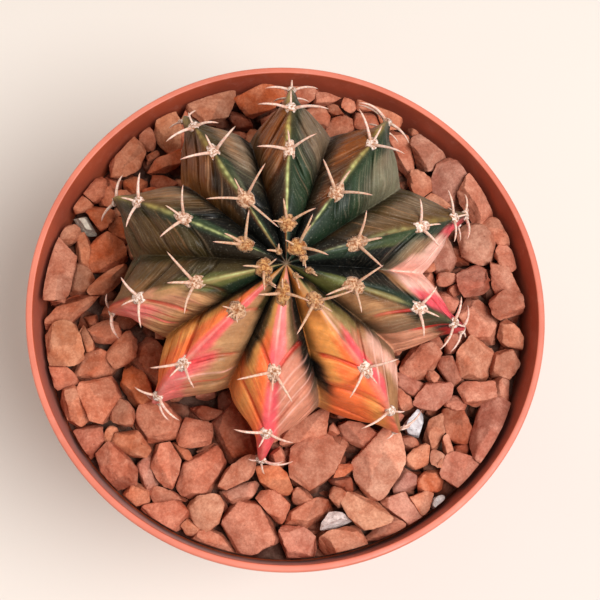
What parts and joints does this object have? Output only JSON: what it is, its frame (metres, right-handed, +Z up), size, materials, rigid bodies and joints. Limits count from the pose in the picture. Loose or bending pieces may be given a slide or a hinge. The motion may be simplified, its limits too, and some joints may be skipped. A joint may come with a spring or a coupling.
{
  "type": "potted chin cactus",
  "caption": "Low, broad chin cactus with sharp woolly ribs in a round plastic pot dressed with crushed brick, pale stones among it.",
  "frame": {"origin": "centre of the foot ring's underside, where the pot stands on its shelf", "axes": "+Z up out of the pot, +Y towards the side that the crown leans away from, +X to the right as seen from the side that the crown leans towards"},
  "size_m": [0.085, 0.085, 0.0926],
  "materials": {
    "pot_plastic": "satin",
    "potting_soil": "loose and rough",
    "crushed_brick": "broken, dry and matt",
    "cactus_skin": "dull wax",
    "pumice": "porous and matt"
  },
  "bodies": {
    "root": {"pot": "pot_plastic", "soil": "potting_soil", "gravel": "crushed_brick", "cactus": "cactus_skin", "pumice_1": "pumice", "pumice_2": "pumice", "pumice_3": "pumice", "pumice_4": "pumice"}
  },
  "joints": []
}
